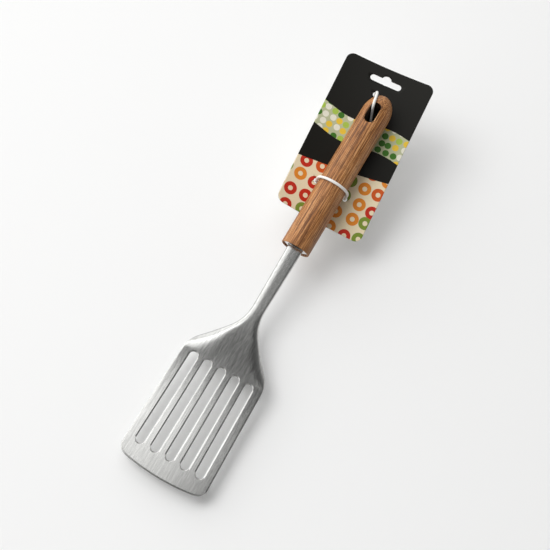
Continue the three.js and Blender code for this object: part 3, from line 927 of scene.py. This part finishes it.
def tang_steel_material():
    """Plain drawn rod."""
    finish = bpy.context.scene.spatula_finish
    material, tree, shader = new_material("drawn rod steel", Metallic=1.0)
    drawn = streaks(tree, handle_vector(tree), along=25.0, across=1500.0)
    toned(tree, shader, drawn, finish.steel, darkest=0.7, lightest=0.9)
    roughened(tree, shader, drawn, smoothest=0.3, roughest=0.55)
    bumped(tree, shader, drawn, strength=0.15, distance=0.0001)
    return material


# Wood: where the pores' noise opens a pore and how far, the pores' darkness, and the height of the grain
OPEN_PORES = (0.53, 0.63, 0.0, 0.6)
PORE_DIM = 0.8
GRAIN_HEIGHT = 0.5


def wood_material(name, dim):
    """Oiled hardwood with fine lines and short open pores along the handle, dimmed where asked, which
    paints shade on it.
    """
    finish = bpy.context.scene.spatula_finish
    material, tree, shader = new_material(name)
    vector = handle_vector(tree)
    figure = streaks(tree, vector, along=5.0, across=260.0)
    grain = streaks(tree, vector, along=25.0, across=1900.0, detail=2.0)
    pores = streaks(tree, vector, along=170.0, across=1800.0, detail=2.0)
    stops = [
        (0.39, solid_colour(finish.wood_dark, dim)),
        (0.50, solid_colour(finish.wood, dim)),
        (0.64, solid_colour(finish.wood_light, dim)),
    ]
    colour = ramp(tree, mixture(tree, grain, figure, part=0.2), stops)
    open_pores = map_range(tree, pores, *OPEN_PORES)
    colour = blend(tree, open_pores, colour, solid_colour(finish.wood_dark, PORE_DIM * dim))
    tree.links.new(colour, shader.inputs["Base Color"])
    roughened(tree, shader, grain, smoothest=0.4, roughest=0.6)
    shader.inputs["Specular IOR Level"].default_value = finish.wood_shine
    relief = maths(tree, "SUBTRACT", maths(tree, "MULTIPLY", grain, GRAIN_HEIGHT), open_pores)
    bumped(tree, shader, relief, strength=0.25, distance=0.00015)
    return material


# Colours of the card's dots and rings, each with where it starts in their mix
DOT_COLOURS = [
    (0.0, (0.05, 0.16, 0.02, 1.0)),
    (0.3, (0.36, 0.50, 0.08, 1.0)),
    (0.55, (0.75, 0.50, 0.05, 1.0)),
    (0.75, (0.74, 0.72, 0.60, 1.0)),
]
RING_COLOURS = [
    (0.0, (0.52, 0.03, 0.015, 1.0)),
    (0.4, (0.72, 0.24, 0.03, 1.0)),
    (0.65, (0.60, 0.10, 0.02, 1.0)),
    (0.85, (0.20, 0.28, 0.04, 1.0)),
]

# How far the spots stray from even rows
SPOT_SCATTER = 0.28


def spots(tree, vector, scale, colours):
    """Round spots in rows: the distance from their middles, and a colour for each."""
    inputs = {"Vector": vector, "Scale": scale, "Randomness": SPOT_SCATTER}
    cells = node(tree, "ShaderNodeTexVoronoi", inputs, voronoi_dimensions="2D")
    tone = node(tree, "ShaderNodeSeparateColor", {"Color": cells.outputs["Color"]}).outputs[0]
    return cells.outputs["Distance"], ramp(tree, tone, colours, "CONSTANT")


def card_print_material():
    """Printed front of the card: dark ground, a wavy strip of dots and a slanted pale panel of rings."""
    scene = bpy.context.scene
    finish, design = scene.spatula_finish, scene.spatula_print
    material, tree, shader = new_material("printed card")
    vector = node(tree, "ShaderNodeUVMap", uv_map="card").outputs[0]
    parts = node(tree, "ShaderNodeSeparateXYZ", {"Vector": vector})
    along, aside = parts.outputs[0], parts.outputs[1]
    wave = maths(tree, "SINE", maths(tree, "MULTIPLY", aside, math.tau / design.wave_length))
    middle = maths(tree, "ADD", maths(tree, "MULTIPLY", wave, design.wave_height), design.strip_middle)
    off_strip = maths(tree, "ABSOLUTE", maths(tree, "SUBTRACT", along, middle))
    in_strip = maths(tree, "LESS_THAN", off_strip, design.strip_width / 2)
    fall = maths(tree, "MULTIPLY", aside, design.panel_slant)
    in_panel = maths(tree, "LESS_THAN", maths(tree, "ADD", along, fall), design.panel_height)
    off_dot, dot_colour = spots(tree, vector, 1.0 / design.dot_spacing, DOT_COLOURS)
    in_dot = maths(tree, "LESS_THAN", off_dot, design.dot_share)
    strip_colour = blend(tree, in_dot, solid_colour(finish.strip), dot_colour)
    off_ring, ring_colour = spots(tree, vector, 1.0 / design.ring_spacing, RING_COLOURS)
    in_ring = maths(tree, "LESS_THAN", off_ring, design.ring_share)
    past_middle = maths(tree, "GREATER_THAN", off_ring, design.ring_hole_share)
    in_ring = maths(tree, "MULTIPLY", in_ring, past_middle)
    panel_colour = blend(tree, in_ring, solid_colour(finish.cream), ring_colour)
    colour = blend(tree, in_strip, solid_colour(finish.card), strip_colour)
    colour = blend(tree, in_panel, colour, panel_colour)
    fibre = fibres(tree, vector, scale=900.0, detail=3.0)
    wear = between(tree, fibre, 0.92, 1.06)
    shade = node(tree, "ShaderNodeCombineColor", {"Red": wear, "Green": wear, "Blue": wear}).outputs[0]
    tree.links.new(blend(tree, 1.0, colour, shade, "MULTIPLY"), shader.inputs["Base Color"])
    roughened(tree, shader, fibre, smoothest=0.45, roughest=0.57)
    shader.inputs["Specular IOR Level"].default_value = finish.card_shine
    bumped(tree, shader, fibre, strength=0.05, distance=0.0001)
    return material


def board_material():
    """Plain back and cut edges of the card."""
    finish = bpy.context.scene.spatula_finish
    material, tree, shader = new_material("plain card board")
    vector = node(tree, "ShaderNodeUVMap", uv_map="card").outputs[0]
    fibre = fibres(tree, vector, scale=420.0, detail=5.0)
    toned(tree, shader, fibre, finish.board, darkest=0.88, lightest=1.08)
    roughened(tree, shader, fibre, smoothest=0.7, roughest=0.85)
    bumped(tree, shader, fibre, strength=0.15, distance=0.0001)
    return material


def tie_material():
    """White tie with a faintly uneven surface. It is made once."""
    name = "white tie"
    if name in bpy.data.materials:
        return bpy.data.materials[name]
    finish = bpy.context.scene.spatula_finish
    material, tree, shader = new_material(name)
    lumps = fibres(tree, handle_vector(tree), scale=1500.0, detail=3.0)
    toned(tree, shader, lumps, finish.tie, darkest=0.92, lightest=1.04)
    roughened(tree, shader, lumps, smoothest=0.45, roughest=0.65)
    bumped(tree, shader, lumps, strength=0.3, distance=0.0002)
    return material


def floor_material():
    """Pale matt floor."""
    stage = bpy.context.scene.spatula_stage
    material, _, shader = new_material("pale floor")
    shader.inputs["Base Color"].default_value = solid_colour(stage.floor)
    shader.inputs["Roughness"].default_value = 0.8
    shader.inputs["Specular IOR Level"].default_value = 0.2
    return material


class SPATULA_OT_blade(bpy.types.Operator):
    """Make the slotted blade, heel and channel stem from one sheet"""

    bl_idname = "spatula.blade"
    bl_label = "Blade"

    def execute(self, context):
        blade, handle = context.scene.spatula_blade, context.scene.spatula_handle
        columns = blade_columns(blade)
        last_column = len(columns) - 1
        bm = bmesh.new()
        bmesh.ops.create_grid(bm, x_segments=BLADE_ROWS, y_segments=last_column, size=0.5)
        grid = {}
        for vert in bm.verts:
            row = round((vert.co.x + 0.5) * BLADE_ROWS)
            grid[vert] = (row, round((vert.co.y + 0.5) * last_column))
        cut = []
        for face in bm.faces:
            first_row = min(grid[vert][0] for vert in face.verts)
            slots = {columns[grid[vert][1]][3] for vert in face.verts}
            if TIP_ROWS <= first_row < TIP_ROWS + SLOT_ROWS and len(slots) == 1 and None not in slots:
                cut.append(face)
        bmesh.ops.delete(bm, geom=cut, context="FACES")
        for vert in bm.verts:
            row, column = grid[vert]
            vert.co = blade_place(blade, handle, row, columns[column])
        bmesh.ops.recalc_face_normals(bm, faces=bm.faces)
        if sum(face.normal.z for face in bm.faces) < 0.0:
            bmesh.ops.reverse_faces(bm, faces=bm.faces)
        piece = finish_piece("blade_sheet", bm, [sheet_steel_material()], "blade")
        thicken(piece, blade.sheet)
        return {"FINISHED"}


class SPATULA_OT_handle(bpy.types.Operator):
    """Make the turned wooden handle with its hanging hole"""

    bl_idname = "spatula.handle"
    bl_label = "Handle"

    def execute(self, context):
        handle = context.scene.spatula_handle
        bm = turned(handle_profile(handle), HANDLE_SIDES, handle.hole_roll)
        bmesh.ops.delete(bm, geom=[face for face in bm.faces if in_hole(handle, face)], context="FACES")
        for vert in bm.verts:
            vert.co = hole_warp(handle, vert.co)
        rims = [edge for edge in bm.edges if edge.is_boundary]
        if not rims:
            raise RuntimeError("the hanging hole has no rims")
        bore = bmesh.ops.bridge_loops(bm, edges=rims)
        # The faces inside the hanging hole take the second material: the same wood dimmed to a tenth, as
        # painted shade for the hole's dark inside.
        for face in bore["faces"]:
            face.material_index = 1
        bmesh.ops.bevel(
            bm,
            geom=rims,
            offset=handle.hole_edge,
            offset_type="OFFSET",
            segments=3,
            profile=0.5,
            affect="EDGES",
            material=-1,
        )
        bmesh.ops.recalc_face_normals(bm, faces=bm.faces)
        # The second wood is the first one dimmed to a tenth: painted shade inside the hanging hole.
        woods = [wood_material("oiled hardwood", 1.0), wood_material("dark wood of the hole", 0.1)]
        finish_on_handle("wooden_handle", bm, woods, "handle")
        return {"FINISHED"}


class SPATULA_OT_end_cap(bpy.types.Operator):
    """Make the pressed cap in the handle's front"""

    bl_idname = "spatula.end_cap"
    bl_label = "End cap"

    def execute(self, context):
        handle = context.scene.spatula_handle
        outside = handle.diameter / 2 - handle.rim_width - handle.fit
        inside = outside - handle.cap_wall
        front = handle.cap_inset
        soft = handle.cap_wall / 2
        inner = soft / 2
        profile = [(front + handle.cap_wall, handle.stem_bore)]
        profile += arc_points(front + inner, handle.stem_bore + inner, inner, 270.0, 180.0, steps=3)
        profile += arc_points(front + soft, outside - soft, soft, 180.0, 90.0, steps=5)
        profile += [
            (front + handle.cap_depth, outside),
            (front + handle.cap_depth, inside),
            (front + handle.cap_wall, inside),
            (front + handle.cap_wall, handle.stem_bore),
        ]
        bm = turned(profile, HANDLE_SIDES, 0.0)
        piece = finish_on_handle("end_cap_ring", bm, [bright_steel_material()], "end_cap")
        break_edges(piece, handle.cap_edge)
        return {"FINISHED"}


class SPATULA_OT_tang(bpy.types.Operator):
    """Make the rod under the stem and in the handle"""

    bl_idname = "spatula.tang"
    bl_label = "Tang"

    def execute(self, context):
        handle = context.scene.spatula_handle
        radius = handle.tang_diameter / 2
        soft = radius / 4
        profile = [(-handle.tang_in_stem, 0.0)]
        profile += arc_points(soft - handle.tang_in_stem, radius - soft, soft, 180.0, 90.0, steps=4)
        profile += arc_points(handle.tang_in_handle - soft, radius - soft, soft, 90.0, 0.0, steps=4)
        profile.append((handle.tang_in_handle, 0.0))
        bm = turned(profile, ROD_SIDES, 0.0)
        finish_on_handle("tang_rod", bm, [tang_steel_material()], "tang")
        return {"FINISHED"}


def add_loop(bm, points):
    """Closed loop of edges through flat points."""
    corners = [bm.verts.new((x, y, 0.0)) for x, y in points]
    return [bm.edges.new(pair) for pair in zip(corners, corners[1:] + corners[:1])]


def card_loops(bm, handle, card):
    """Outline of the flat card, its hang slot and its holes."""
    reach_x = card.length / 2 - card.corner
    reach_y = card.width / 2 - card.corner
    outline = []
    for k, (x, y) in enumerate(((1, 1), (-1, 1), (-1, -1), (1, -1))):
        outline += arc_points(x * reach_x, y * reach_y, card.corner, 90.0 * k, 90.0 * k + 90.0, steps=10)
    edges = add_loop(bm, outline)
    at = card.length / 2 - card.slot_from_top
    radius = card.slot_height / 2
    bump = card.slot_bump / 2
    rise = card.slot_height / 4
    top = math.degrees(math.asin((radius - rise) / bump))
    bottom = math.degrees(math.asin((radius + rise) / bump))
    reach = card.slot_length / 2 - radius
    slot = arc_points(at, reach, radius, 0.0, 180.0, steps=12)
    slot += arc_points(at + rise, 0.0, bump, 180.0 - (90.0 - bottom), 180.0 + (90.0 - bottom), steps=4)
    slot += arc_points(at, -reach, radius, 180.0, 360.0, steps=12)
    slot += arc_points(at + rise, 0.0, bump, -(90.0 - top), 90.0 - top, steps=10)
    edges += add_loop(bm, slot)
    upper = upper_tie_points(handle, card)
    lower = lower_tie_points(handle, card)
    for point in (upper[0], upper[-1], lower[0], lower[-1]):
        spot = Matrix.Rotation(-card.turn, 2) @ (point.xy - card_middle(handle, card))
        hole = arc_points(spot.x, spot.y, card.tie_hole / 2, 0.0, 345.0, steps=23)
        edges += add_loop(bm, hole)
    return edges


# Distance between the lines along which the flat card is divided, so that it can curl,
# and how near to a line a point has to be to lie on it
CARD_SPACING = 0.004
ON_LINE = 1e-7


class SPATULA_OT_hang_card(bpy.types.Operator):
    """Make the curled hang card with its slot and holes"""

    bl_idname = "spatula.hang_card"
    bl_label = "Hang card"

    def execute(self, context):
        handle, card = context.scene.spatula_handle, context.scene.spatula_card
        bm = bmesh.new()
        bmesh.ops.triangle_fill(bm, use_beauty=True, edges=card_loops(bm, handle, card))
        for axis, reach in ((0, card.length / 2), (1, card.width / 2)):
            count = math.floor(reach / CARD_SPACING)
            for k in range(-count, count + 1):
                spot = Vector((0.0, 0.0, 0.0))
                spot[axis] = k * CARD_SPACING
                across = Vector((0.0, 0.0, 0.0))
                across[axis] = 1.0
                geom = bm.verts[:] + bm.edges[:] + bm.faces[:]
                bmesh.ops.bisect_plane(bm, geom=geom, dist=ON_LINE, plane_co=spot, plane_no=across)
        layer = bm.loops.layers.uv.new("card")
        for face in bm.faces:
            if face.normal.z < 0.0:
                face.normal_flip()
            for loop in face.loops:
                loop[layer].uv = (loop.vert.co.x + card.length / 2, loop.vert.co.y + card.width / 2)
        turn = Matrix.Rotation(card.turn, 2)
        for vert in bm.verts:
            spot = turn @ vert.co.xy + card_middle(handle, card)
            vert.co = (spot.x, spot.y, card_height(handle, card, spot))
        materials = [card_print_material(), board_material()]
        piece = finish_on_handle("hang_card_sheet", bm, materials, "hang_card")
        thicken(piece, card.thickness, 1)
        return {"FINISHED"}


class SPATULA_OT_ties(bpy.types.Operator):
    """Make the two white ties that hold the card"""

    bl_idname = "spatula.ties"
    bl_label = "Ties"

    def execute(self, context):
        handle, card = context.scene.spatula_handle, context.scene.spatula_card
        make_tie("upper_white_tie", upper_tie_points(handle, card), "upper_tie")
        make_tie("lower_white_tie", lower_tie_points(handle, card), "lower_tie")
        return {"FINISHED"}


# Lights as name, place, point they are aimed at, sides, power, and whether polished pieces mirror them
LIGHTS = [
    ("Window", (-0.15, 1.36, 1.95), (0.18, 0.0, 0.0), (1.2, 1.2), 22.5, False),
    ("Softbox", (0.51, 0.27, 1.0), (0.51, 0.27, 0.0), (0.5, 0.6), 1.35, True),
]


def add_area_light(name, place, aim, size, power, mirrored):
    """Soft light aimed at a point, which polished pieces mirror or not."""
    data = bpy.data.lights.new(name, "AREA")
    data.shape = "RECTANGLE"
    data.size = size[0]
    data.size_y = size[1]
    data.energy = power
    light = bpy.data.objects.new(name, data)
    light.location = place
    light.rotation_euler = (Vector(aim) - Vector(place)).to_track_quat("-Z", "Y").to_euler()
    light.visible_camera = False
    light.visible_glossy = mirrored
    bpy.context.scene.collection.objects.link(light)


# Surround: where a change starts and ends along a direction, and the brightness at each of them
LEFT_GLOW = (0.0, 0.95, 0.1, 1.8)
RIGHT_GLOW = (-0.08, -0.4, 0.0, 0.1)
BEHIND_GLOW = (0.1, 0.45, 0.0, 0.3)
STEM_GLOW = (0.04, -0.05, 0.0, 0.45)
FRONT_FALL = (-0.1, -0.35, 0.0, 0.4)
OVERHEAD_FALL = (0.8, 0.98, 1.0, 0.15)
OVERHEAD_LEAN = 0.6


def make_world():
    """Studio surround: bright on the left and over the stem, dim behind and on the right."""
    world = bpy.data.worlds.new("Studio surround")
    bpy.context.scene.world = world
    world.use_nodes = True
    tree = world.node_tree
    tree.nodes.clear()
    direction = node(tree, "ShaderNodeTexCoord").outputs["Generated"]
    parts = node(tree, "ShaderNodeSeparateXYZ", {"Vector": direction})
    x, y, z = parts.outputs
    left = map_range(tree, y, *LEFT_GLOW)
    right = map_range(tree, y, *RIGHT_GLOW)
    behind = map_range(tree, x, *BEHIND_GLOW)
    above_stem = map_range(tree, x, *STEM_GLOW)
    front = maths(tree, "SUBTRACT", above_stem, map_range(tree, x, *FRONT_FALL))
    above_right = maths(tree, "SUBTRACT", z, maths(tree, "MULTIPLY", y, OVERHEAD_LEAN))
    overhead = map_range(tree, above_right, *OVERHEAD_FALL)
    around = maths(tree, "MULTIPLY", maths(tree, "ADD", left, behind), overhead)
    level = maths(tree, "ADD", maths(tree, "ADD", around, front), right)
    shader = node(tree, "ShaderNodeBackground", {"Color": (1.0, 1.0, 1.0, 1.0), "Strength": level})
    output = node(tree, "ShaderNodeOutputWorld")
    tree.links.new(shader.outputs[0], output.inputs[0])


def make_floor(stage):
    """Flat floor below the blade."""
    bm = bmesh.new()
    bmesh.ops.create_grid(bm, x_segments=1, y_segments=1, size=stage.floor_size / 2)
    bmesh.ops.translate(bm, vec=(0.0, 0.0, -stage.floor_drop), verts=bm.verts)
    mesh = bpy.data.meshes.new("floor")
    bm.to_mesh(mesh)
    bm.free()
    mesh.materials.append(floor_material())
    floor = bpy.data.objects.new("floor", mesh)
    bpy.context.scene.collection.objects.link(floor)


# Width of the camera's sensor in millimetres, and how far the camera sees in metres
SENSOR_WIDTH = 36.0
FARTHEST = 20.0


def make_camera(stage):
    """Camera at the photograph's viewing angle."""
    target = Vector(stage.target)
    level = math.cos(stage.elevation)
    aside = level * math.sin(stage.azimuth)
    back = Vector((-level * math.cos(stage.azimuth), aside, math.sin(stage.elevation)))
    right = (-back).cross(Vector((0.0, 0.0, 1.0))).normalized()
    up = right.cross(-back)
    rolled_right = right * math.cos(stage.roll) + up * math.sin(stage.roll)
    rolled_up = up * math.cos(stage.roll) - right * math.sin(stage.roll)
    data = bpy.data.cameras.new("Camera")
    data.sensor_width = SENSOR_WIDTH
    data.lens = stage.lens
    data.clip_end = FARTHEST
    camera = bpy.data.objects.new("Camera", data)
    turn = Matrix((rolled_right, rolled_up, back)).transposed().to_4x4()
    camera.matrix_world = Matrix.Translation(target + back * stage.distance) @ turn
    bpy.context.scene.collection.objects.link(camera)
    bpy.context.scene.camera = camera


class SPATULA_OT_stage(bpy.types.Operator):
    """Make the floor, the light and the camera"""

    bl_idname = "spatula.stage"
    bl_label = "Stage"

    def execute(self, context):
        stage = context.scene.spatula_stage
        make_floor(stage)
        make_world()
        for light in LIGHTS:
            add_area_light(*light)
        make_camera(stage)
        context.scene.view_settings.view_transform = "Standard"
        return {"FINISHED"}


OPERATORS = (
    SPATULA_OT_stage,
    SPATULA_OT_blade,
    SPATULA_OT_handle,
    SPATULA_OT_end_cap,
    SPATULA_OT_tang,
    SPATULA_OT_hang_card,
    SPATULA_OT_ties,
)


class SPATULA_PT_parts(bpy.types.Panel):
    """Sidebar panel with the spatula's pieces"""

    bl_idname = "SPATULA_PT_parts"
    bl_label = "Slotted spatula"
    bl_space_type = "VIEW_3D"
    bl_region_type = "UI"
    bl_category = "Spatula"

    def draw(self, context):
        for operator in OPERATORS:
            self.layout.operator(operator.bl_idname)


GROUPS = (
    ("spatula_blade", BladeSizes),
    ("spatula_handle", HandleSizes),
    ("spatula_card", CardSizes),
    ("spatula_finish", Finishes),
    ("spatula_print", CardPrint),
    ("spatula_stage", StageSizes),
)


def register():
    """Register the settings, the operators and the panel."""
    for name, group in GROUPS:
        bpy.utils.register_class(group)
        setattr(bpy.types.Scene, name, PointerProperty(type=group))
    for operator in OPERATORS:
        bpy.utils.register_class(operator)
    bpy.utils.register_class(SPATULA_PT_parts)


def unregister():
    """Take back what register did."""
    bpy.utils.unregister_class(SPATULA_PT_parts)
    for operator in reversed(OPERATORS):
        bpy.utils.unregister_class(operator)
    for name, group in reversed(GROUPS):
        delattr(bpy.types.Scene, name)
        bpy.utils.unregister_class(group)


def main():
    """Register the add-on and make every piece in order."""
    register()
    bpy.ops.spatula.stage()
    bpy.ops.spatula.blade()
    bpy.ops.spatula.handle()
    bpy.ops.spatula.end_cap()
    bpy.ops.spatula.tang()
    bpy.ops.spatula.hang_card()
    bpy.ops.spatula.ties()


if __name__ == "__main__":
    main()
